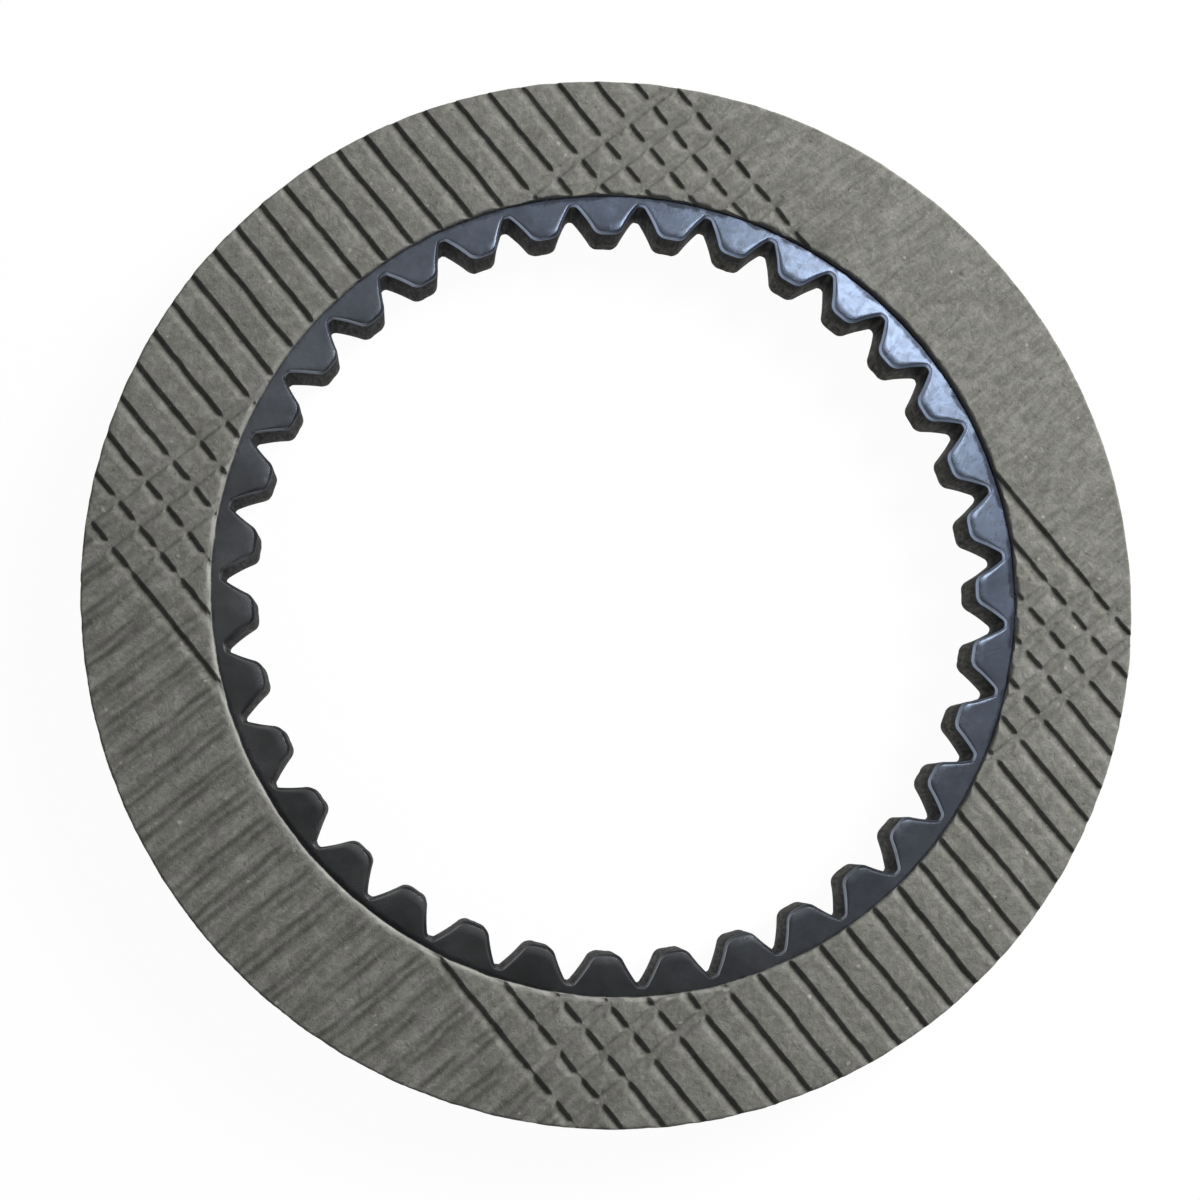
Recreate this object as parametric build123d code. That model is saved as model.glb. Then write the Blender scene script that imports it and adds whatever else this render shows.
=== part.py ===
from build123d import *
import math
import os

# Wet-clutch friction disc: a stamped steel core with an internal spline, and a grooved
# friction ring bonded to each of its faces. The disc lies flat. Its axis is Z, and Z is zero
# on the lower friction face. Lengths are in millimetres and angles in degrees.

# Steel core and its spline
core_thickness = 5.8
module = 2.5
tooth_count = 35
pressure_angle = 30.0
tip_inside_pitch = 1.0
root_outside_pitch = 2.25
root_fillet = 0.9
tip_corner = 0.6
first_space_angle = 4.1
core_setback = 0.15

# Friction rings
facing_thickness = 0.9
facing_width = 14.5
facing_clear_of_roots = 1.5

# Grooves: two crossing families of straight, parallel grooves in each ring
groove_pitch = 3.8
groove_count = 24
groove_width = 1.1
paper_under_groove = 0.45
groove_angle = 38.5

# Modelling allowances
cutter_overrun = 1.0
same_place = 0.001
fillet_share_of_room = 0.98

# Sizes that follow from the ones above
pitch_radius = module * tooth_count / 2
base_radius = pitch_radius * math.cos(math.radians(pressure_angle))
tip_radius = pitch_radius - tip_inside_pitch
root_radius = pitch_radius + root_outside_pitch
facing_inner_radius = root_radius + facing_clear_of_roots
facing_outer_radius = facing_inner_radius + facing_width
core_outer_radius = facing_outer_radius - core_setback
core_bottom = facing_thickness
core_top = core_bottom + core_thickness


def involute(angle):
    """The involute function of an angle in radians."""
    return math.tan(angle) - angle


def half_space_angle(radius):
    """Half of the angle that one tooth space spans at a radius, in radians."""
    at_pitch = math.pi / (2 * tooth_count)
    return at_pitch + involute(math.radians(pressure_angle)) - involute(math.acos(base_radius / radius))


def flank_point(radius):
    """A point of the upper flank of the tooth space that is centred on +X."""
    angle = half_space_angle(radius)
    return Vector(radius * math.cos(angle), radius * math.sin(angle))


def tooth_space():
    """One tooth space, centred on +X, with involute flanks and a rounded root."""
    upper = ThreePointArc(flank_point(tip_radius), flank_point(pitch_radius), flank_point(root_radius))
    lower = mirror(upper, Plane.XZ)
    root_line = Line(upper @ 1, lower @ 1)
    mouth_line = Line(upper @ 0, lower @ 0)
    space = make_face(Curve() + [upper, root_line, lower, mouth_line])
    turn_at_root = 90 - abs((upper % 1).get_angle(Vector(1, 0, 0)))
    largest_fillet = root_line.length / 2 / math.tan(math.radians(turn_at_root / 2))
    root_corners = space.vertices().sort_by(Axis.X)[-2:]
    return fillet(root_corners, min(root_fillet, fillet_share_of_room * largest_fillet))


def spline_hole():
    """The outline of the splined hole, with the corners of its tooth tips cut off."""
    spaces = PolarLocations(0, tooth_count, start_angle=first_space_angle) * tooth_space()
    hole = Circle(tip_radius) + spaces
    on_tip_circle = [v for v in hole.vertices() if abs(math.hypot(v.X, v.Y) - tip_radius) < same_place]
    return chamfer(on_tip_circle, tip_corner)


def core_plate():
    """The flat steel ring with the internal spline stamped through it."""
    return Pos(0, 0, core_bottom) * extrude(Circle(core_outer_radius) - spline_hole(), core_thickness)


def groove_cutter():
    """One groove's bar along X, from the paper left under it to above the ring's face."""
    height = facing_thickness + cutter_overrun - paper_under_groove
    length = 2 * (facing_outer_radius + cutter_overrun)
    on_floor = (Align.CENTER, Align.CENTER, Align.MIN)
    return Pos(0, 0, paper_under_groove) * Box(length, groove_width, height, align=on_floor)


def friction_ring():
    """A friction ring that lies on Z zero, with both groove families cut in its upper face."""
    ring = extrude(Circle(facing_outer_radius) - Circle(facing_inner_radius), facing_thickness)
    bar = groove_cutter()
    rows = GridLocations(groove_pitch, groove_pitch, 1, groove_count)
    for angle in (groove_angle, groove_angle + 90):
        ring -= [Rot(0, 0, angle) * row * bar for row in rows]
    return ring


def build():
    """Every piece in its place, by name."""
    ring = friction_ring()
    return {
        "core_plate": core_plate(),
        "top_facing": Pos(0, 0, core_top) * ring,
        "bottom_facing": Pos(0, 0, core_bottom) * mirror(ring, Plane.XY),
    }


os.makedirs("parts", exist_ok=True)
for name, shape in build().items():
    export_step(shape, f"parts/{name}.step")
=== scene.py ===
import bpy
import math
import numpy as np
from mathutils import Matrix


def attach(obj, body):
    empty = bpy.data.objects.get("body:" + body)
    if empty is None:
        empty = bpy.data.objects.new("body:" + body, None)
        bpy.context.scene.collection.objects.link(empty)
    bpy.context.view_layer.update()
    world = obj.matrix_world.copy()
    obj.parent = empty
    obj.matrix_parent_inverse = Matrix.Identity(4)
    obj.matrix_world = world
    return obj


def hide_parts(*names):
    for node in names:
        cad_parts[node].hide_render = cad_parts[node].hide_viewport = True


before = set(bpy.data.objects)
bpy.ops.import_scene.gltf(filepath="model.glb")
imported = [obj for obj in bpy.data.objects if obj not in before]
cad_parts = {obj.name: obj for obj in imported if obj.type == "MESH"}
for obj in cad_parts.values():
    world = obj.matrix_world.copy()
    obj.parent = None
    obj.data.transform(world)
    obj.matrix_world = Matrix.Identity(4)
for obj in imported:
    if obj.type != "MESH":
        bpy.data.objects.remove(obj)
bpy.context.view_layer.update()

# Lengths below are in millimetres, as in the CAD source, and meshes are scaled to metres
MM = 0.001

# The steel core and its spline, as in the CAD source
CORE_BOTTOM = 0.9
CORE_TOP = 6.7
CORE_OUTER = 61.85
TOOTH_COUNT = 35
PRESSURE_ANGLE = math.radians(30.0)
PITCH_RADIUS = 43.75
BASE_RADIUS = PITCH_RADIUS * math.cos(PRESSURE_ANGLE)
TIP_RADIUS = 42.75
ROOT_RADIUS = 46.0
FIRST_SPACE_ANGLE = 4.1

# The friction rings, as in the CAD source
FACING_INNER = 47.5
FACING_OUTER = 62.0
FACING_THICKNESS = 0.9
GROOVE_PITCH = 3.8
GROOVE_COUNT = 24
GROOVE_ANGLE = 38.5


def smooth_step(low, high, value):
    """0 below low, 1 above high, and an even S between them."""
    t = np.clip((value - low) / (high - low), 0.0, 1.0)
    return t * t * (3.0 - 2.0 * t)


def lattice_noise(x, y, cell, seed):
    """Smooth random values from -1 to 1 over the plane, with one random value for each cell."""
    size = 257
    table = np.random.default_rng(seed).uniform(-1.0, 1.0, (size, size))
    gx = np.asarray(x) / cell
    gy = np.asarray(y) / cell
    ix = np.floor(gx).astype(int)
    iy = np.floor(gy).astype(int)
    fx = gx - ix
    fy = gy - iy
    fx = fx * fx * (3.0 - 2.0 * fx)
    fy = fy * fy * (3.0 - 2.0 * fy)
    near = table[ix % size, iy % size] * (1 - fx) + table[(ix + 1) % size, iy % size] * fx
    far = table[ix % size, (iy + 1) % size] * (1 - fx) + table[(ix + 1) % size, (iy + 1) % size] * fx
    return near * (1 - fy) + far * fy


def make_object(name, points, faces, values, sharp_angle):
    """A smooth-shaded mesh object from points in millimetres, with named values for each point."""
    mesh = bpy.data.meshes.new(name)
    mesh.from_pydata((np.asarray(points) * MM).tolist(), [], faces)
    for value_name, numbers in values.items():
        attribute = mesh.attributes.new(value_name, "FLOAT", "POINT")
        attribute.data.foreach_set("value", np.asarray(numbers, np.float32))
    mesh.validate()
    mesh.update()
    mesh.shade_smooth()
    mesh.set_sharp_from_angle(angle=math.radians(sharp_angle))
    obj = bpy.data.objects.new(name, mesh)
    bpy.context.scene.collection.objects.link(obj)
    return obj


# ---- Friction rings

# The strong groove family runs along v and the weak one along u. Mesh lines beside each groove,
# measured across it from its middle:
STRONG_LINES = (-1.4, -1.15, -0.95, -0.8, -0.65, -0.5, -0.35, -0.2, -0.05, 0.1, 0.22, 0.32, 0.39,
                0.46, 0.54, 0.62, 0.74, 1.1)
WEAK_LINES = (-1.6, -1.3, -1.1, -0.88, -0.72, -0.6, -0.5, -0.4, -0.26, 0.0, 0.26, 0.4, 0.5, 0.6,
              0.72, 0.88, 1.2, 1.45, 1.7)
LAND_STEP = 0.7

# Where a groove's side leaves the floor and where it meets the land. The strong grooves have one
# gentle side and one steep side, with painted shade at its foot up to STRONG_FOOT.
STRONG_LOW_SIDE = (-0.08, 0.95)
STRONG_HIGH_SIDE = (0.32, 0.57)
STRONG_FOOT = (0.5, 0.68)
WEAK_SIDE = (0.25, 0.93)
GROOVE_DEPTH = 0.43

# The lands lie this high, so that their unevenness stays inside the CAD source's ring
LAND_HEIGHT = FACING_THICKNESS - 0.026

# Past this distance along u the weak grooves run alone, and fade to this share of their depth
LONE_FROM = 43.5
FADED_REACH = 0.15

# The soft pairs of creases along u, in the lands at the lower left
CREASE_OFFSET = 1.55
CREASE_APART = 0.56
CREASE_WIDTH = 0.37
CREASE_DEPTH = 0.11

# The rolled rims: their widths, how far they drop, and the steps across them
RIM_INNER = 0.48
RIM_OUTER = 0.5
RIM_DROP = 0.45
RIM_STEPS = (0.3, 0.55, 0.75, 0.9, 1.0)

# Sides of the disc, as angles: where the inner rim is paler with wear and a painted highlight, and where
# the rims' walls are darker with dirt and painted shade
LIT_RUBBED_SIDE = math.radians(215.0)
SHADED_OILY_SIDE = math.radians(35.0)
SHADED_DIRTY_SIDE = math.radians(222.0)


def mesh_lines(beside):
    """Where the ring's mesh has its lines across one direction, close together at each groove."""
    lines = []
    for i in range(GROOVE_COUNT + 1):
        centre = (i - (GROOVE_COUNT - 1) / 2) * GROOVE_PITCH
        lines.append(centre - GROOVE_PITCH / 2)
        if i < GROOVE_COUNT:
            lines += [centre + step for step in beside]
    land = max(lines)
    while land < FACING_OUTER + 1:
        land += LAND_STEP
        lines += [land, -land]
    return np.array(sorted(lines))


def to_grooves(x, y):
    """A point of the disc as u, along the weak grooves, and v, along the strong ones."""
    c = math.cos(math.radians(GROOVE_ANGLE))
    s = math.sin(math.radians(GROOVE_ANGLE))
    return x * c + y * s, -x * s + y * c


def from_grooves(u, v):
    """The reverse of to_grooves."""
    c = math.cos(math.radians(GROOVE_ANGLE))
    s = math.sin(math.radians(GROOVE_ANGLE))
    return u * c - v * s, u * s + v * c


def waver(u, v):
    """How far the pressed grooves stray from their straight lines."""
    du = 0.07 * lattice_noise(u, v, 1.3, 11) + 0.06 * lattice_noise(u, v, 5.0, 12)
    dv = 0.07 * lattice_noise(u, v, 1.3, 13) + 0.06 * lattice_noise(u, v, 5.0, 14)
    alone = smooth_step(-LONE_FROM, -LONE_FROM - 3.5, u)
    return du, dv + 0.08 * alone * lattice_noise(u, v, 2.2, 15)


def weak_reach(u, v):
    """How deep the weak groove family is along its length; it fades where it runs alone."""
    past_corner = np.abs(v) - 1.3 * (np.abs(u) - 43.7)
    low_end = FADED_REACH + (1.0 - FADED_REACH) * smooth_step(32.0, 40.0, past_corner)
    low_end = np.where((u > 0) & (v > 0), 1.0, low_end)
    high_end = 1.0 - (1.0 - FADED_REACH) * smooth_step(LONE_FROM, LONE_FROM + 3.0, u)
    return np.minimum(low_end, high_end)


def crease(u, v):
    """The soft pairs of lines along the middle of the lands, which show most on the lower left."""
    place = (v + CREASE_OFFSET) / GROOVE_PITCH + 0.5
    off = (place - np.round(place)) * GROOVE_PITCH + 0.12 * lattice_noise(u / 2.0, v, 1.4, 52)
    lines = np.exp(-((np.abs(off) - CREASE_APART) / CREASE_WIDTH) ** 2)
    ragged = 0.82 + 0.42 * lattice_noise(u / 3.0, v, 0.8, 51) + 0.25 * lattice_noise(u / 2.0, v, 0.5, 53)
    return lines * np.clip(ragged, 0.0, 1.2) * smooth_step(-35.0, -48.0, u)


def off_groove(across):
    """The distance from the middle of the nearest groove of a family."""
    half = (GROOVE_COUNT - 1) / 2
    index = np.clip(np.round(across / GROOVE_PITCH + half), 0, GROOVE_COUNT - 1)
    return across - (index - half) * GROOVE_PITCH


def groove_cut(across, along, seed, reach, low_side, high_side):
    """How deep one family of grooves is cut, from 0 on the lands to 1 on the groove's floor."""
    off = off_groove(across)
    low = smooth_step(low_side[0], low_side[1], -off)
    high = smooth_step(high_side[0], high_side[1], off)
    cut = 1.0 - np.maximum(low, high)
    uneven = 1.0 + 0.1 * lattice_noise(across, along, 2.3, seed)
    return cut * uneven * reach


def weak_cut(u, v):
    """How deep the weak family is cut at a point."""
    return groove_cut(v, u, 22, weak_reach(u, v), WEAK_SIDE, WEAK_SIDE)


def face_height(u, v):
    """Height of the grooved face above the bonded one, without the rounding of the rims."""
    right_side = smooth_step(0.0, 34.0, u)
    low_side = (STRONG_LOW_SIDE[0], STRONG_LOW_SIDE[1] + 0.3 * right_side)
    strong = groove_cut(u, v, 21, 1.0 - 0.17 * right_side, low_side, STRONG_HIGH_SIDE)
    depth = GROOVE_DEPTH * np.maximum(strong, weak_cut(u, v))
    depth = depth + CREASE_DEPTH * crease(u, v) * (1.0 - strong)
    uneven = 0.010 * lattice_noise(u, v, 0.9, 23) + 0.014 * lattice_noise(u, v, 3.1, 24)
    return LAND_HEIGHT - depth + uneven


def to_straight_grooves(x, y):
    """As to_grooves, with the grooves' straying undone."""
    u, v = to_grooves(x, y)
    du, dv = waver(u, v)
    return u - du, v - dv


def height_at(x, y):
    """Height of the grooved face at a point of the disc."""
    u, v = to_straight_grooves(x, y)
    return face_height(u, v)


def groove_painted_shade(x, y):
    """How much painted shade darkens the land's creases and the foot of the steep groove walls."""
    u, v = to_straight_grooves(x, y)
    off = off_groove(u)
    foot = smooth_step(STRONG_FOOT[1], STRONG_FOOT[0], off) * np.clip((off + 0.75) / 1.1, 0.0, 1.0)
    foot = foot * np.clip(1.0 - 1.1 * weak_cut(u, v), 0.0, 1.0)
    foot = foot * (0.85 + 0.25 * lattice_noise(u, v, 1.7, 54))
    return crease(u, v) * (1.0 - foot), foot


def ring_grid():
    """The grooved face as a grid that follows the grooves, clipped to the ring."""
    u, v = np.meshgrid(mesh_lines(STRONG_LINES), mesh_lines(WEAK_LINES), indexing="ij")
    du, dv = waver(u, v)
    x, y = from_grooves(u + du, v + dv)
    z = face_height(u, v)
    radius = np.hypot(x, y)
    low = FACING_INNER + RIM_INNER
    high = FACING_OUTER - RIM_OUTER
    inside = (radius > low) & (radius < high)
    index = -np.ones(inside.shape, int)
    index[inside] = np.arange(inside.sum())
    points = np.stack([x[inside], y[inside], z[inside]], 1).tolist()
    whole = inside[:-1, :-1] & inside[1:, :-1] & inside[1:, 1:] & inside[:-1, 1:]
    some = inside[:-1, :-1] | inside[1:, :-1] | inside[1:, 1:] | inside[:-1, 1:]
    quads = np.stack([index[:-1, :-1], index[1:, :-1], index[1:, 1:], index[:-1, 1:]], -1)
    faces = quads[whole].tolist()
    cuts = {}

    def cut(a, b):
        """The point where the mesh line from a to b meets the ring's inner or outer clip circle."""
        key = (a, b) if a < b else (b, a)
        if key not in cuts:
            ra, rb = radius[a], radius[b]
            edge = low if min(ra, rb) < low else high
            t = (edge - ra) / (rb - ra)
            px = x[a] + (x[b] - x[a]) * t
            py = y[a] + (y[b] - y[a]) * t
            scale = edge / math.hypot(px, py)
            cuts[key] = len(points)
            points.append([px * scale, py * scale, float(height_at(px * scale, py * scale))])
        return cuts[key]

    for i, j in np.argwhere(some & ~whole):
        corners = [(i, j), (i + 1, j), (i + 1, j + 1), (i, j + 1)]
        face = []
        for a, b in zip(corners, corners[1:] + corners[:1]):
            if inside[a]:
                face.append(int(index[a]))
            if inside[a] != inside[b]:
                face.append(cut(a, b))
        if len(face) > 2:
            faces.append(face)
    return points, faces, sorted(cuts.values())


def strip(faces, first, second):
    """Quads between two closed rows with the same number of points."""
    count = len(first)
    for k in range(count):
        n = (k + 1) % count
        faces.append([first[k], first[n], second[n], second[k]])


def rim_rows(points, faces, loop, edge_radius, width, outward):
    """Rolls the face over at one rim, and drops the rim's wall to the bonded face."""
    start = np.array([points[k] for k in loop])
    angle = np.arctan2(start[:, 1], start[:, 0])
    radius = np.hypot(start[:, 0], start[:, 1])
    fray = 0.5 + 0.5 * lattice_noise(angle * edge_radius, radius * 0, 0.45, 31)
    fray = 0.05 * fray + 0.045 * (1 + lattice_noise(angle * edge_radius, radius * 0, 1.6, 32))
    rows = [loop]
    for t in RIM_STEPS:
        reach = radius + outward * (width - fray) * t
        x, y = reach * np.cos(angle), reach * np.sin(angle)
        rolled = LAND_HEIGHT - RIM_DROP * (1.0 - math.sqrt(1.0 - t * t))
        z = np.minimum(height_at(x, y), rolled)
        rows.append(list(range(len(points), len(points) + len(loop))))
        points.extend(np.stack([x, y, z], 1).tolist())
    last = np.array([points[k] for k in rows[-1]])
    rows.append(list(range(len(points), len(points) + len(loop))))
    points.extend(np.stack([last[:, 0], last[:, 1], last[:, 2] * 0], 1).tolist())
    for a, b in zip(rows, rows[1:]):
        if outward > 0:
            strip(faces, b, a)
        else:
            strip(faces, a, b)
    return rows[-1]


def close_bonded_face(points, faces, inner, outer):
    """Closes the bonded face between its inner and outer rows, whose counts may differ."""
    a = sorted(inner, key=lambda k: math.atan2(points[k][1], points[k][0]))
    b = sorted(outer, key=lambda k: math.atan2(points[k][1], points[k][0]))
    angle = {k: math.atan2(points[k][1], points[k][0]) for k in a + b}
    i = j = 0
    while i < len(a) or j < len(b):
        next_a = angle[a[(i + 1) % len(a)]] + (2 * math.pi if i + 1 >= len(a) else 0)
        next_b = angle[b[(j + 1) % len(b)]] + (2 * math.pi if j + 1 >= len(b) else 0)
        here_a, here_b = a[i % len(a)], b[j % len(b)]
        if j >= len(b) or (i < len(a) and next_a < next_b):
            faces.append([here_a, a[(i + 1) % len(a)], here_b])
            i += 1
        else:
            faces.append([here_a, b[(j + 1) % len(b)], here_b])
            j += 1


def friction_ring():
    """Points and faces of a friction ring that lies on Z zero with its grooves upward."""
    points, faces, rim = ring_grid()
    middle = (FACING_INNER + FACING_OUTER) / 2
    by_angle = sorted(rim, key=lambda k: math.atan2(points[k][1], points[k][0]))
    inner = [k for k in by_angle if math.hypot(points[k][0], points[k][1]) < middle]
    outer = [k for k in by_angle if math.hypot(points[k][0], points[k][1]) > middle]
    inner_end = rim_rows(points, faces, inner, FACING_INNER, RIM_INNER, -1)
    outer_end = rim_rows(points, faces, outer, FACING_OUTER, RIM_OUTER, 1)
    close_bonded_face(points, faces, inner_end, outer_end)
    return np.array(points), faces


def rim_wear_and_highlight(angle, radius):
    """How far the inner rim's edge is painted pale, for wear and as a painted highlight, most on the side
    of the disc that faces the light.
    """
    around = angle * FACING_INNER
    lit_and_rubbed = 0.12 + 0.88 * smooth_step(0.1, 0.9, np.cos(angle - LIT_RUBBED_SIDE))
    wear = lit_and_rubbed * smooth_step(FACING_INNER + 0.58, FACING_INNER + 0.44, radius)
    return wear * (0.85 + 0.3 * lattice_noise(around, around * 0, 1.1, 33))


def rim_dirt_and_shade(angle, radius, height):
    """How dark the walls of both rims are painted, with dirt in patches and painted shade most on two sides
    of the disc.
    """
    around = angle * FACING_INNER
    inner_rim = smooth_step(FACING_INNER + 0.5, FACING_INNER + 0.3, radius)
    near_rim = inner_rim + smooth_step(FACING_OUTER - 0.3, FACING_OUTER - 0.1, radius)
    depth = near_rim * np.clip((FACING_THICKNESS - height) / FACING_THICKNESS, 0, 1)
    shaded_oily = smooth_step(0.7, 0.97, np.cos(angle - SHADED_OILY_SIDE))
    shade_and_dirt = np.maximum(shaded_oily, 0.8 * smooth_step(0.75, 0.97, np.cos(angle - SHADED_DIRTY_SIDE)))
    patches = 0.5 * (1.0 - shade_and_dirt) * lattice_noise(around, around * 0, 2.4, 34)
    shade_and_dirt = np.clip(0.12 + 0.65 * shade_and_dirt + patches, 0.0, 1.0)
    return shade_and_dirt * smooth_step(0.36, 0.56, depth + 0.2 * shaded_oily * inner_rim)


def paper_values(points):
    """The values for each point of a ring that its material reads."""
    x, y, height = points.T
    radius = np.hypot(x, y)
    angle = np.arctan2(y, x)
    painted_shade, foot = groove_painted_shade(x, y)
    return {
        "rim_wear_and_highlight": rim_wear_and_highlight(angle, radius),
        "rim_dirt_and_shade": rim_dirt_and_shade(angle, radius, height),
        "brushed": smooth_step(36.0, 45.0, np.abs(to_grooves(x, y)[0])),
        "groove_painted_shade": painted_shade * smooth_step(FACING_INNER + 0.3, FACING_INNER + 1.8, radius),
        "groove_foot_shade": foot,
    }


def build_facings():
    """The upper ring, and the lower one as its mirror image."""
    points, faces = friction_ring()
    values = paper_values(points)
    top = points.copy()
    top[:, 2] += CORE_TOP
    low = points.copy()
    low[:, 2] = CORE_BOTTOM - low[:, 2]
    flipped = [list(reversed(f)) for f in faces]
    upper = make_object("upper_friction_ring", top, faces, values, 60)
    lower = make_object("lower_friction_ring", low, flipped, values, 60)
    return upper, lower


# ---- Steel core

# The photo's tooth roots lie this much deeper than the solids'
ROOT_DEEPER = 0.42

# The stamped edges: the rolled upper edge, and the walls below it
ROLL_DROP = 0.21
ROLL_STEPS = (0.0, 0.04, 0.1, 0.2, 0.35, 0.5, 0.65, 0.8, 0.92, 1.0)
ROLL_CURVE = 1.25
WALL_TOP = CORE_TOP - ROLL_DROP - 0.12
WALL_LOW = CORE_BOTTOM + 0.12
WALL_ROWS = 10

# A mesh line on each face, just inside the friction rings' inner rims
FACE_LINE = 47.2

# The mean distance between the outline's points, for noise along the outline
OUTLINE_STEP = 0.22


def involute(angle):
    """The involute function of an angle in radians."""
    return math.tan(angle) - angle


def half_space_angle(radius):
    """Half of the angle that one tooth space spans at a radius, in radians."""
    at_pitch = math.pi / (2 * TOOTH_COUNT)
    return at_pitch + involute(PRESSURE_ANGLE) - involute(math.acos(BASE_RADIUS / radius))


def on_circle(radius, angle):
    return np.array([radius * math.cos(angle), radius * math.sin(angle)])


def rounded_corner(corner, before, after, radius, steps):
    """Points of an arc that rounds a corner between two unit directions of travel."""
    turn = math.acos(max(-1.0, min(1.0, float(before @ after))))
    side = 1.0 if before[0] * after[1] - before[1] * after[0] > 0 else -1.0
    start = corner - before * radius * math.tan(turn / 2)
    normal = np.array([-before[1], before[0]]) * side
    centre = start + normal * radius
    arc = []
    for k in range(steps + 1):
        t = side * turn * k / steps
        c, s = math.cos(t), math.sin(t)
        spoke = -normal * radius
        arc.append(centre + np.array([c * spoke[0] - s * spoke[1], s * spoke[0] + c * spoke[1]]))
    return arc


def half_space(tip_inset, flank_inset, root_inset, corner_radius, root_radius):
    """Half of one tooth space, from the middle of a tooth's tip to the middle of the space."""
    tip = TIP_RADIUS + tip_inset
    a = on_circle(TIP_RADIUS, half_space_angle(TIP_RADIUS))
    b = on_circle(ROOT_RADIUS, half_space_angle(ROOT_RADIUS))
    along = (b - a) / np.linalg.norm(b - a)
    into = np.array([-along[1], along[0]])
    into = into if into[1] > 0 else -into
    p = on_circle(PITCH_RADIUS, half_space_angle(PITCH_RADIUS))
    bow = float((p - a) @ into)
    a = a + into * flank_inset
    step = -(a @ along) + math.sqrt((a @ along) ** 2 - a @ a + tip * tip)
    corner = a + along * step
    root_x = b[0] + root_inset
    root = corner + along * ((root_x - corner[0]) / along[0])
    corner_angle = math.atan2(corner[1], corner[0])
    before = np.array([math.sin(corner_angle), -math.cos(corner_angle)])
    down = np.array([0.0, -1.0])
    root_turn = math.acos(float(along @ down))
    root_radius = min(root_radius, 0.97 * root[1] / math.tan(root_turn / 2))
    tip_arc = rounded_corner(corner, before, along, corner_radius, 6)
    root_arc = rounded_corner(root, along, down, root_radius, 7)
    path = []
    tooth_middle = math.pi / TOOTH_COUNT
    arc_from = math.atan2(tip_arc[0][1], tip_arc[0][0])
    for k in range(4):
        path.append(on_circle(tip, tooth_middle + (arc_from - tooth_middle) * k / 4))
    path += tip_arc
    for k in range(1, 6):
        t = k / 6
        place = tip_arc[-1] + (root_arc[0] - tip_arc[-1]) * t
        path.append(place + into * bow * 4 * t * (1 - t))
    path += root_arc
    path.append(np.array([root_x, 0.0]))
    return path


def spline_outline(tip_inset, flank_inset, root_inset, corner_radius, root_radius):
    """The whole outline of the splined hole, as points in order of angle."""
    path = half_space(tip_inset, flank_inset, root_inset, corner_radius, root_radius)
    one = [np.array([p[0], -p[1]]) for p in path] + list(reversed(path))[1:-1]
    outline = []
    for k in range(TOOTH_COUNT):
        turn = math.radians(FIRST_SPACE_ANGLE) + 2 * math.pi * k / TOOTH_COUNT
        c, s = math.cos(turn), math.sin(turn)
        outline += [[p[0] * c - p[1] * s, p[0] * s + p[1] * c] for p in one]
    return np.array(outline)


def spokes(line):
    """The unit direction from the axis to each point of an outline."""
    angle = np.arctan2(line[:, 1], line[:, 0])
    return np.stack([np.cos(angle), np.sin(angle)], 1)


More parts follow.
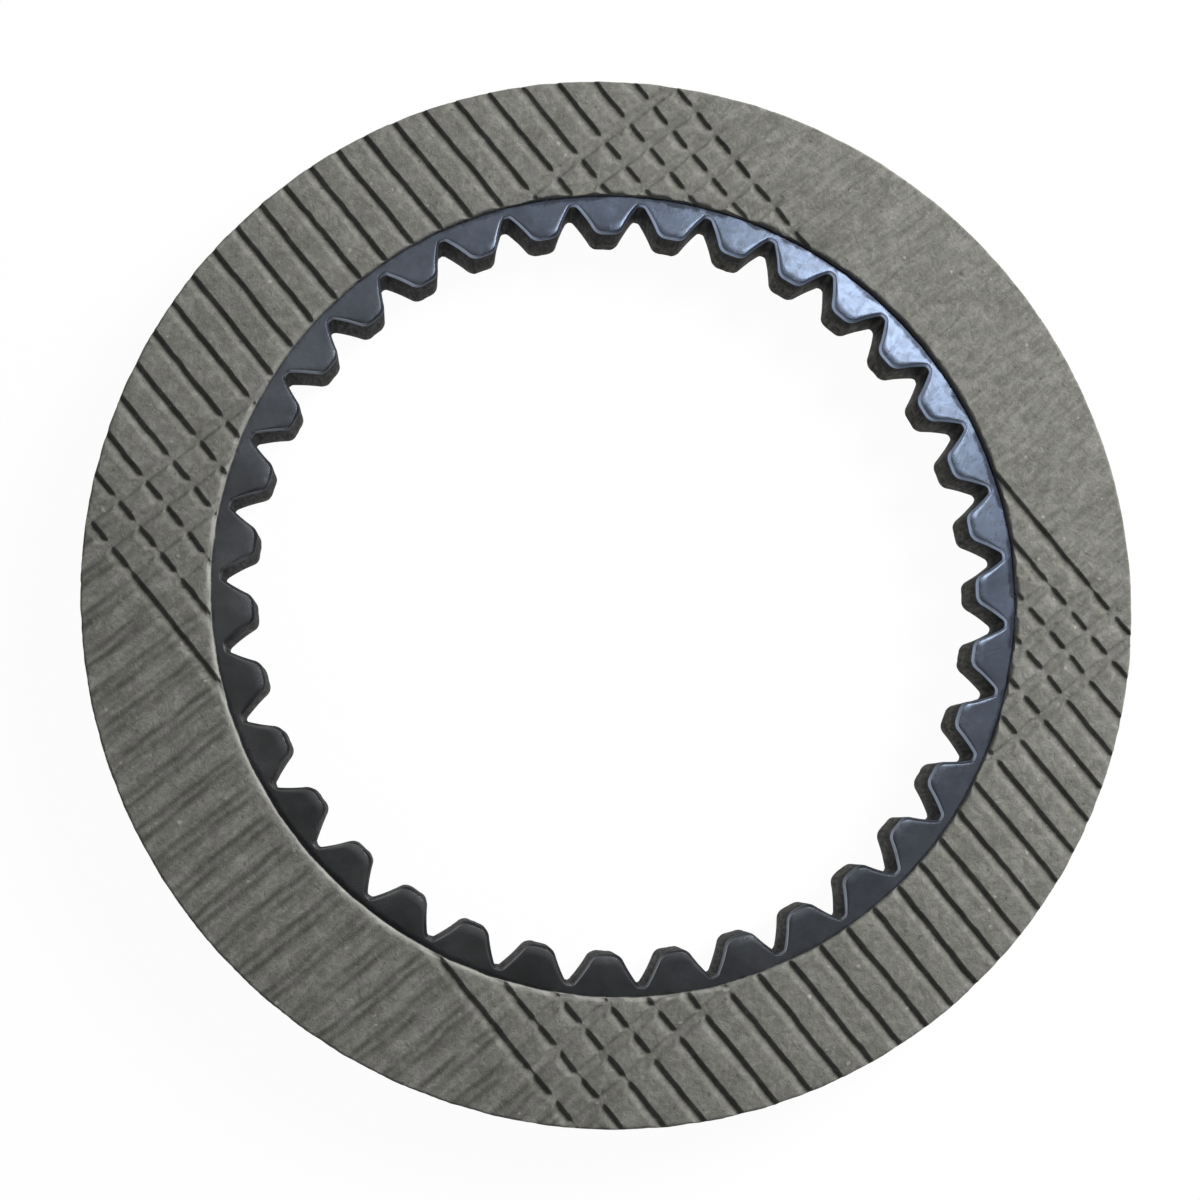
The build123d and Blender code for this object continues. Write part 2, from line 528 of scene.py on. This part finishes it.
def build_core():
    """The splined steel core, with the rolled upper edge and the rough lower wall of a stamping."""
    wall_line = spline_outline(0.0, 0.0, ROOT_DEEPER, 1.5, 0.6)
    flat_line = spline_outline(0.34, 0.31, ROOT_DEEPER + 0.22, 1.4, 0.7)
    wall_foot = spline_outline(0.0, 0.0, ROOT_DEEPER, 1.3, 0.6)
    low_line = spline_outline(0.1, 0.1, ROOT_DEEPER + 0.1, 1.3, 0.6)
    around = np.arange(len(wall_line)) * OUTLINE_STEP
    uneven = 1.0 + 0.2 * lattice_noise(around, around * 0, 1.7, 47)
    uneven = uneven + 0.1 * lattice_noise(around, around * 0, 0.6, 48)
    flat_line = wall_line + (flat_line - wall_line) * uneven[:, None]
    roll = wall_line - flat_line
    spoke = spokes(wall_line)
    face_line = spokes(flat_line) * FACE_LINE
    face_rim = spoke * (CORE_OUTER - 0.3)
    count = len(wall_line)
    rows = []

    def row(plan, z, wall, depth):
        """Adds a closed row of points. It is a wall where wall is 1, and depth runs from top to bottom."""
        same = np.zeros(count)
        rows.append((np.column_stack([plan, same + z]), same + wall, same + depth))

    row(face_rim, CORE_TOP, 0, 0)
    row(face_line, CORE_TOP, 0, 0)
    row(flat_line + (face_line - flat_line) * 0.25, CORE_TOP, 0, 0)
    for t in ROLL_STEPS:
        row(flat_line + roll * t * 0.94, CORE_TOP - ROLL_DROP * t ** ROLL_CURVE, 0, t * 0.1)
    row(flat_line + roll * 0.98, CORE_TOP - ROLL_DROP - 0.04, 0.4, 0.1)
    row(wall_line, WALL_TOP, 0.95, 0.1)
    for k in range(1, WALL_ROWS + 1):
        t = k / WALL_ROWS
        rough = np.clip((t - 0.25) / 0.2, 0, 1)
        noise = 0.035 + 0.03 * lattice_noise(around, around * 0 + t * 7, 0.7, 41 + k)
        noise = noise + 0.015 * lattice_noise(around, around * 0, 0.4, 40)
        plan = wall_line + (wall_foot - wall_line) * t
        step = spoke * (rough * noise)[:, None]
        row(plan + step, WALL_TOP + (WALL_LOW - WALL_TOP) * t, 1.0, 0.1 + 0.9 * t)
    row(low_line, CORE_BOTTOM, 1.0, 1.0)
    row(face_line, CORE_BOTTOM, 0, 1)
    row(face_rim, CORE_BOTTOM, 0, 1)
    for drop, back in ((0.1, 0.1), (0.3, 0.0)):
        row(spoke * (CORE_OUTER - back), CORE_BOTTOM + drop, 1.0, 0.9)
    for t in (0.25, 0.5, 0.75):
        rough = 0.03 * (1 + lattice_noise(around, around * 0 + t, 0.8, 45)) * (t < 0.7)
        row(spoke * (CORE_OUTER - rough)[:, None], CORE_BOTTOM + 0.3 + t * 4.2, 1.0, 0.9 - 0.8 * t)
    for drop, back in ((0.3, 0.0), (0.1, 0.1)):
        row(spoke * (CORE_OUTER - back), CORE_TOP - drop, 1.0, 0.1)
    points, wall, depth = (np.concatenate(part) for part in zip(*rows))
    faces = []
    for k in range(len(rows)):
        a = [k * count + n for n in range(count)]
        b = [((k + 1) % len(rows)) * count + n for n in range(count)]
        strip(faces, a, b)
    return make_object("splined_core", points, faces, {"wall": wall, "depth": depth}, 38)


# ---- Materials

class Shader:
    """A small helper that adds nodes to a material and joins them."""

    def __init__(self, name):
        self.material = bpy.data.materials.new(name)
        self.material.use_nodes = True
        self.tree = self.material.node_tree
        self.surface = self.tree.nodes["Principled BSDF"]

    def put(self, socket, value):
        if isinstance(value, bpy.types.NodeSocket):
            self.tree.links.new(value, socket)
        else:
            socket.default_value = value

    def node(self, kind, output=0, settings=None, **inputs):
        node = self.tree.nodes.new(kind)
        for key, value in (settings or {}).items():
            setattr(node, key, value)
        for key, value in inputs.items():
            self.put(node.inputs[key.replace("_", " ")], value)
        return node.outputs[output]

    def value(self, name):
        """A value that the mesh holds for each of its points."""
        return self.node("ShaderNodeAttribute", "Fac", {"attribute_name": name})

    def place(self, scale=(1, 1, 1), turn=0.0):
        """The surface's own coordinates in millimetres, turned about Z and then scaled."""
        where = self.node("ShaderNodeTexCoord", "Object")
        turned = self.node("ShaderNodeMapping", 0, None, Vector=where, Rotation=(0, 0, math.radians(-turn)))
        size = tuple(s / MM for s in scale)
        return self.node("ShaderNodeMapping", 0, None, Vector=turned, Scale=size)

    def noise(self, vector, scale, detail=3.0, roughness=0.55, distortion=0.0):
        return self.node("ShaderNodeTexNoise", 0, None, Vector=vector, Scale=scale, Detail=detail,
                         Roughness=roughness, Distortion=distortion)

    def math(self, operation, first, second=0.0):
        node = self.tree.nodes.new("ShaderNodeMath")
        node.operation = operation
        self.put(node.inputs[0], first)
        self.put(node.inputs[1], second)
        return node.outputs[0]

    def span(self, value, low, high, to_low=0.0, to_high=1.0):
        """Maps a value's range to another range, clamped."""
        node = self.tree.nodes.new("ShaderNodeMapRange")
        for socket, number in zip(node.inputs, (value, low, high, to_low, to_high)):
            self.put(socket, number)
        return node.outputs[0]

    def mix(self, factor, first, second, blend="MIX"):
        node = self.tree.nodes.new("ShaderNodeMix")
        node.data_type = "RGBA"
        node.blend_type = blend
        self.put(node.inputs[0], factor)
        self.put(node.inputs[6], first)
        self.put(node.inputs[7], second)
        return node.outputs[2]

    def product(self, first, second):
        return self.math("MULTIPLY", first, second)

    def total(self, *values):
        total = values[0]
        for value in values[1:]:
            total = self.math("ADD", total, value)
        return total

    def bump(self, height, strength, distance):
        node = self.tree.nodes.new("ShaderNodeBump")
        node.inputs["Strength"].default_value = strength
        node.inputs["Distance"].default_value = distance
        self.tree.links.new(height, node.inputs["Height"])
        return node.outputs[0]


# Colours of the friction paper
PAPER_DARK = (0.145, 0.145, 0.132, 1)
PAPER_PALE = (0.186, 0.186, 0.172, 1)
MOTTLE_DARK = (0.102, 0.102, 0.091, 1)
MOTTLE_PALE = (0.26, 0.259, 0.242, 1)
GRAIN_PALE = (0.26, 0.258, 0.24, 1)
GRAIN_DARK = (0.09, 0.089, 0.08, 1)
STRAND = (0.28, 0.278, 0.258, 1)
STREAK_DARK = (0.085, 0.084, 0.075, 1)
STREAK_PALE = (0.25, 0.249, 0.23, 1)
WARM_TINT = (0.18, 0.155, 0.18, 1)
GREEN_TINT = (0.16, 0.175, 0.13, 1)
SPECK = (0.38, 0.375, 0.34, 1)
PIT = (0.05, 0.05, 0.045, 1)
CREASE_SHADE = (0.055, 0.055, 0.048, 1)
FOOT_SHADE = (0.024, 0.024, 0.019, 1)
WORN_LIT_PAPER = (0.31, 0.31, 0.289, 1)
OILY_DIRT_AND_SHADE = (0.012, 0.013, 0.018, 1)


def friction_paper():
    """Matt olive-grey friction paper: cloudy and fibrous, brushed where only one groove family runs."""
    m = Shader("friction_paper")
    plain = m.place()
    blotch = m.noise(plain, 0.24, 2.0, 0.55)
    mottle = m.noise(plain, 0.85, 3.0, 0.6, 0.5)
    grain = m.noise(plain, 2.3, 2.0, 0.5)
    tint = m.noise(m.place((1, 1, 1), 20), 0.4, 2.0, 0.5)
    streaks = m.noise(m.place((0.26, 1.35, 1.35), GROOVE_ANGLE), 1.0, 3.0, 0.55, 0.6)
    strands = m.noise(m.place((1, 1, 1), 75.0), 0.8, 1.0, 0.5, 2.2)
    strand_line = m.math("ABSOLUTE", m.math("SUBTRACT", strands, 0.5))
    specks = m.noise(plain, 1.2, 0.0, 0.5)
    pits = m.noise(m.place((1, 1, 1), 131.0), 1.3, 0.0, 0.5)
    brushed = m.value("brushed")

    tone = m.mix(m.span(blotch, 0.3, 0.7), PAPER_DARK, PAPER_PALE)
    dark_streak = m.product(brushed, m.span(streaks, 0.5, 0.68, 0.0, 0.44))
    pale_streak = m.product(brushed, m.span(streaks, 0.48, 0.32, 0.0, 0.34))
    worn_and_lit = m.product(m.value("rim_wear_and_highlight"), m.span(mottle, 0.3, 0.6, 0.55, 0.95))
    for share, colour in (
        (m.span(mottle, 0.4, 0.64, 0.0, 0.56), MOTTLE_DARK),
        (m.span(mottle, 0.46, 0.3, 0.0, 0.38), MOTTLE_PALE),
        (m.span(grain, 0.5, 0.7, 0.0, 0.22), GRAIN_PALE),
        (m.span(grain, 0.45, 0.3, 0.0, 0.2), GRAIN_DARK),
        (m.span(strand_line, 0.035, 0.0, 0.0, 0.22), STRAND),
        (dark_streak, STREAK_DARK),
        (pale_streak, STREAK_PALE),
        (m.span(tint, 0.52, 0.7, 0.0, 0.14), WARM_TINT),
        (m.span(tint, 0.48, 0.3, 0.0, 0.14), GREEN_TINT),
        (m.span(specks, 0.79, 0.86, 0.0, 0.5), SPECK),
        (m.span(pits, 0.23, 0.17, 0.0, 0.5), PIT),
        # Painted shade in the land's creases
        (m.span(m.value("groove_painted_shade"), 0.0, 1.0, 0.0, 0.76), CREASE_SHADE),
        # Painted shade at the foot of the steep groove walls
        (m.span(m.value("groove_foot_shade"), 0.0, 1.0, 0.0, 0.52), FOOT_SHADE),
        # Pale wear and a painted highlight along the inner rim
        (worn_and_lit, WORN_LIT_PAPER),
        # Dirt and painted shade on the rims' walls
        (m.span(m.value("rim_dirt_and_shade"), 0.0, 1.0, 0.0, 0.93), OILY_DIRT_AND_SHADE),
    ):
        tone = m.mix(share, tone, colour)
    m.put(m.surface.inputs["Base Color"], tone)

    m.put(m.surface.inputs["Roughness"], m.span(mottle, 0.3, 0.7, 0.8, 0.95))
    m.surface.inputs["Specular IOR Level"].default_value = 0.2
    cloudy_height = m.total(m.product(mottle, 1.5), m.product(grain, 0.35))
    height = m.total(cloudy_height, m.product(streaks, brushed), m.span(strand_line, 0.05, 0.0, 0.0, 0.2))
    m.put(m.surface.inputs["Normal"], m.bump(height, 0.6, 0.16 * MM))
    return m.material


# Colours of the steel
GREY_STEEL = (0.4, 0.405, 0.402, 1)
BLUE_SHEEN_STEEL = (0.345, 0.42, 0.57, 1)
CLOUD_DARK = (0.8, 0.8, 0.8, 1)
CLOUD_PALE = (1.16, 1.16, 1.16, 1)
SMEAR = (0.24, 0.255, 0.3, 1)
SCRATCH = (0.56, 0.61, 0.68, 1)
SHADED_ROLL_EDGE = (0.04, 0.042, 0.045, 1)
RING_EDGE_SHADE = (0.028, 0.031, 0.043, 1)
SHEAR_DARK = (0.002, 0.002, 0.002, 1)
SHEAR_PALE = (0.007, 0.0068, 0.0058, 1)
OUTER_SHEAR = (0.06, 0.061, 0.064, 1)
TORN_DARK = (0.016, 0.015, 0.012, 1)
TORN_PALE = (0.056, 0.053, 0.043, 1)
TORN_SCAR = (0.012, 0.0115, 0.009, 1)


def core_steel():
    """Oiled steel: grey, cloudy faces, painted bluer toward the upper right as a reflection tint and with
    painted shade on the rolled edges at the lower left, and dark sheared walls.
    """
    m = Shader("core_steel")
    plain = m.place()
    where = m.node("ShaderNodeTexCoord", "Object")
    flat_place = m.node("ShaderNodeVectorMath", 0, {"operation": "MULTIPLY"})
    flat_node = flat_place.node
    m.put(flat_node.inputs[0], where)
    flat_node.inputs[1].default_value = (1 / MM, 1 / MM, 0)
    radius = m.node("ShaderNodeVectorMath", 1, {"operation": "LENGTH"})
    m.put(radius.node.inputs[0], flat_place)
    cloud = m.noise(plain, 0.17, 3.0, 0.55, 0.4)
    smear = m.noise(plain, 0.75, 3.0, 0.55, 0.8)
    fine = m.noise(plain, 9.0, 2.0, 0.6)
    scratch = m.noise(m.place((0.25, 5.0, 1.0), 63.0), 1.0, 2.0, 0.5)
    drag = m.noise(m.place((2.6, 2.6, 0.6)), 1.0, 3.0, 0.6)
    chips = m.noise(m.place((0.9, 0.9, 1.6)), 1.0, 2.0, 0.6)
    patches = m.noise(plain, 0.23, 1.0, 0.5)

    def toward(x, y):
        """1 on the side of the disc that lies in this direction from its axis, and -1 on the far side."""
        side = m.node("ShaderNodeVectorMath", 1, {"operation": "DOT_PRODUCT"})
        m.put(side.node.inputs[0], flat_place)
        side.node.inputs[1].default_value = (x, y, 0)
        return m.math("DIVIDE", side, radius)

    upper_right = toward(0.707, 0.707)
    # Painted reflection: the faces are tinted bluer toward the upper right, where the sheen light is
    # reflected
    face = m.mix(m.span(upper_right, -0.9, 0.95), GREY_STEEL, BLUE_SHEEN_STEEL)
    clouds = m.mix(m.span(cloud, 0.3, 0.7), CLOUD_DARK, CLOUD_PALE)
    face = m.mix(1.0, face, clouds, "MULTIPLY")
    face = m.mix(m.span(smear, 0.45, 0.72, 0.0, 0.42), face, SMEAR)
    face = m.mix(m.span(scratch, 0.6, 0.78, 0.0, 0.2), face, SCRATCH)
    roll = m.span(m.value("depth"), 0.0, 0.05)
    # Painted shade: the rolled edges are darkened toward the lower left
    roll_shade = m.product(roll, m.span(upper_right, -0.7, 0.8, 0.72, 0.0))
    face = m.mix(roll_shade, face, SHADED_ROLL_EDGE)

    # Painted shade: a dark band on the face beside the friction ring's wall, heaviest at the lower left and
    # in patches toward the upper right
    heavy = m.span(upper_right, -0.8, -0.99)
    patch = m.product(m.span(upper_right, 0.0, 0.8), m.span(patches, 0.44, 0.56, 0.0, 0.55))
    reach = m.total(m.product(heavy, 0.42), m.span(smear, 0.3, 0.7, -0.12, 0.2), patch)
    painted_shade = m.span(m.total(radius, reach), FACING_INNER - 0.25, FACING_INNER + 0.1)
    share = m.math("MAXIMUM", m.span(heavy, 0.0, 1.0, 0.3, 0.6), m.span(upper_right, 0.2, 0.9, 0.3, 0.75))
    face = m.mix(m.product(painted_shade, share), face, RING_EDGE_SHADE)

    # Walls: smooth and dark where the punch sheared them, and paler where they tore
    shear = m.mix(m.span(drag, 0.35, 0.7), SHEAR_DARK, SHEAR_PALE)
    shear = m.mix(m.span(radius, 50.0, 55.0, 0.0, 0.8), shear, OUTER_SHEAR)
    torn = m.mix(m.span(chips, 0.35, 0.65), TORN_DARK, TORN_PALE)
    torn = m.mix(m.span(drag, 0.5, 0.7, 0.0, 0.5), torn, TORN_SCAR)
    edge = m.total(m.value("depth"), m.span(smear, 0.3, 0.7, -0.12, 0.12))
    # Painted shade: the dark sheared colour reaches further down the walls near the tooth roots and on the
    # upper left of the hole
    edge = m.math("SUBTRACT", edge, m.span(radius, 43.8, 45.8, 0.0, 0.3))
    edge = m.math("SUBTRACT", edge, m.span(toward(-0.8, 0.6), 0.2, 0.9, 0.0, 0.35))
    wall = m.mix(m.span(edge, 0.3, 0.58), shear, torn)
    is_wall = m.value("wall")
    m.put(m.surface.inputs["Base Color"], m.mix(is_wall, face, wall))
    m.put(m.surface.inputs["Metallic"], m.span(is_wall, 0.0, 1.0, 1.0, 0.85))
    rough_face = m.total(m.span(cloud, 0.3, 0.7, 0.2, 0.26), m.span(smear, 0.4, 0.7, 0.0, 0.04))
    rough_face = m.total(rough_face, m.product(roll, 0.16))
    rough = m.tree.nodes.new("ShaderNodeMix")
    m.put(rough.inputs[0], is_wall)
    m.put(rough.inputs[2], rough_face)
    m.put(rough.inputs[3], m.span(drag, 0.3, 0.7, 0.6, 0.85))
    m.put(m.surface.inputs["Roughness"], rough.outputs[0])
    wall_marks = m.product(m.product(drag, is_wall), 2.0)
    height = m.total(m.product(smear, 0.5), m.product(fine, 0.12), m.product(scratch, 0.15), wall_marks)
    m.put(m.surface.inputs["Normal"], m.bump(height, 0.45, 0.04 * MM))
    return m.material


# ---- Studio

FLOOR_HALF = 3.0
FLOOR_DROP = 0.0002
FLOOR_WHITE = 0.965
STUDIO_TINT = (0.985, 0.995, 1.02)

# The camera that was fitted to the disc's outlines in the photo, in disc radii from its upper face
DISC_RADIUS = 0.062
DISC_TOP = 0.0076
CAMERA_FROM = (-0.393, -0.458, 3.0)
CAMERA_TILT = (8.02, -6.49)
CAMERA_LENS = 48.66


def white_to_eye(tree):
    """1 for rays that see the background directly, in a polished surface or through glass."""
    rays = tree.nodes.new("ShaderNodeLightPath")
    total = None
    for name in ("Is Camera Ray", "Is Glossy Ray", "Is Transmission Ray"):
        if total is None:
            total = rays.outputs[name]
            continue
        add = tree.nodes.new("ShaderNodeMath")
        add.operation = "ADD"
        add.use_clamp = True
        tree.links.new(total, add.inputs[0])
        tree.links.new(rays.outputs[name], add.inputs[1])
        total = add.outputs[0]
    return total


def build_floor():
    """A wide plain floor that is white to the eye and keeps the disc's soft shadow."""
    corners = [(x * FLOOR_HALF, y * FLOOR_HALF, 0) for x, y in ((-1, -1), (1, -1), (1, 1), (-1, 1))]
    mesh = bpy.data.meshes.new("studio_floor")
    mesh.from_pydata(corners, [], [(0, 1, 2, 3)])
    floor = bpy.data.objects.new("studio_floor", mesh)
    floor.location = (0, 0, -FLOOR_DROP)
    bpy.context.scene.collection.objects.link(floor)
    material = bpy.data.materials.new("studio_floor")
    material.use_nodes = True
    tree = material.node_tree
    tree.nodes.clear()
    plain = tree.nodes.new("ShaderNodeBsdfDiffuse")
    plain.inputs["Color"].default_value = (0.9, 0.9, 0.9, 1)
    glow = tree.nodes.new("ShaderNodeEmission")
    glow.inputs["Color"].default_value = (1, 1, 1, 1)
    glow.inputs["Strength"].default_value = 1.0
    share = tree.nodes.new("ShaderNodeMath")
    share.operation = "MULTIPLY"
    share.inputs[1].default_value = FLOOR_WHITE
    tree.links.new(white_to_eye(tree), share.inputs[0])
    mix = tree.nodes.new("ShaderNodeMixShader")
    tree.links.new(share.outputs[0], mix.inputs[0])
    tree.links.new(plain.outputs[0], mix.inputs[1])
    tree.links.new(glow.outputs[0], mix.inputs[2])
    out = tree.nodes.new("ShaderNodeOutputMaterial")
    tree.links.new(mix.outputs[0], out.inputs["Surface"])
    mesh.materials.append(material)


def build_world():
    """A studio that the eye sees as white, with a dim ceiling that is darker to the lower left."""
    world = bpy.data.worlds.new("studio")
    bpy.context.scene.world = world
    world.use_nodes = True
    tree = world.node_tree
    tree.nodes.clear()

    def node(kind, links, values=()):
        made = tree.nodes.new(kind)
        for index, source in links.items():
            tree.links.new(source, made.inputs[index])
        for index, value in values:
            made.inputs[index].default_value = value
        return made

    def span(value, low, high, to_low=0.0, to_high=1.0):
        """Maps a value's range to another range, clamped."""
        ends = enumerate((low, high, to_low, to_high), 1)
        return node("ShaderNodeMapRange", {0: value}, ends).outputs[0]

    def toward(direction):
        """How far a ray of the world points in a direction."""
        made = node("ShaderNodeVectorMath", {0: where}, [(1, direction)])
        made.operation = "DOT_PRODUCT"
        return made.outputs["Value"]

    where = tree.nodes.new("ShaderNodeTexCoord").outputs["Generated"]
    height = node("ShaderNodeSeparateXYZ", {0: where}).outputs["Z"]
    rays = tree.nodes.new("ShaderNodeLightPath")
    ceiling = span(toward((0.5, 0.866, 0)), -0.1, 0.34, 0.018, 0.255)
    sides = span(toward((0.97, 0.25, 0)), -0.7, 0.3, 0.85, 0.06)
    horizon = span(height, 0.05, 0.3, 1.0, 0.0)
    walls = node("ShaderNodeMath", {0: sides, 1: horizon})
    walls.operation = "MAXIMUM"
    dimmer = span(rays.outputs["Is Diffuse Ray"], 0.0, 1.0, 1.0, 0.45)
    walls_dimmed = node("ShaderNodeMath", {0: walls.outputs[0], 1: dimmer})
    walls_dimmed.operation = "MULTIPLY"
    is_ceiling = span(height, 0.78, 0.9)
    grey = node("ShaderNodeMix", {0: is_ceiling, 2: walls_dimmed.outputs[0], 3: ceiling})
    studio = node("ShaderNodeVectorMath", {3: grey.outputs[0]}, [(0, STUDIO_TINT)])
    studio.operation = "SCALE"
    eye = rays.outputs["Is Camera Ray"]
    seen = node("ShaderNodeMix", {0: eye, 6: studio.outputs[0]}, [(7, (1, 1, 1, 1))])
    seen.data_type = "RGBA"
    background = node("ShaderNodeBackground", {0: seen.outputs[2]}, [(1, 1.0)])
    out = tree.nodes.new("ShaderNodeOutputWorld")
    tree.links.new(background.outputs[0], out.inputs["Surface"])


def add_light(name, azimuth, elevation, distance, width, watts, colour, in_gloss=True):
    """A square soft light that faces the disc from a direction, in degrees and metres."""
    a, e = math.radians(azimuth), math.radians(elevation)
    data = bpy.data.lights.new(name, "AREA")
    data.size = width
    data.energy = watts
    data.color = colour
    light = bpy.data.objects.new(name, data)
    light.location = (distance * math.cos(e) * math.cos(a), distance * math.cos(e) * math.sin(a),
                      distance * math.sin(e))
    light.rotation_euler = (math.pi / 2 - e, 0, a + math.pi / 2)
    light.visible_glossy = in_gloss
    bpy.context.scene.collection.objects.link(light)


def build_camera():
    """The camera, above the disc and a little to its lower left."""
    data = bpy.data.cameras.new("camera")
    data.sensor_width = 36.0
    data.lens = CAMERA_LENS
    data.clip_start = 0.01
    camera = bpy.data.objects.new("camera", data)
    x, y, z = (step * DISC_RADIUS for step in CAMERA_FROM)
    camera.location = (x, y, DISC_TOP + z)
    camera.rotation_mode = "ZYX"
    camera.rotation_euler = (math.radians(CAMERA_TILT[0]), math.radians(CAMERA_TILT[1]), 0)
    bpy.context.scene.collection.objects.link(camera)
    bpy.context.scene.camera = camera


bpy.context.scene.view_settings.view_transform = "Standard"
paper = friction_paper()
steel = core_steel()
upper_ring, lower_ring = build_facings()
core = build_core()
for piece, node, slot, material in (
    (upper_ring, "top_facing", "friction_paper", paper),
    (lower_ring, "bottom_facing", "friction_paper", paper),
    (core, "core_plate", "core_steel", steel),
):
    piece.data.materials.append(material)
    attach(piece, "root")
    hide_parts(node)
    for slot_index in range(len(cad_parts[node].data.materials)):
        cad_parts[node].data.materials[slot_index] = material

build_floor()
build_world()
add_light("key", 34, 33, 0.47, 0.19, 4.18, (1.0, 0.992, 0.977), in_gloss=False)
add_light("sheen", 47, 63, 0.8, 0.13, 0.2, (0.93, 0.97, 1.0))
build_camera()
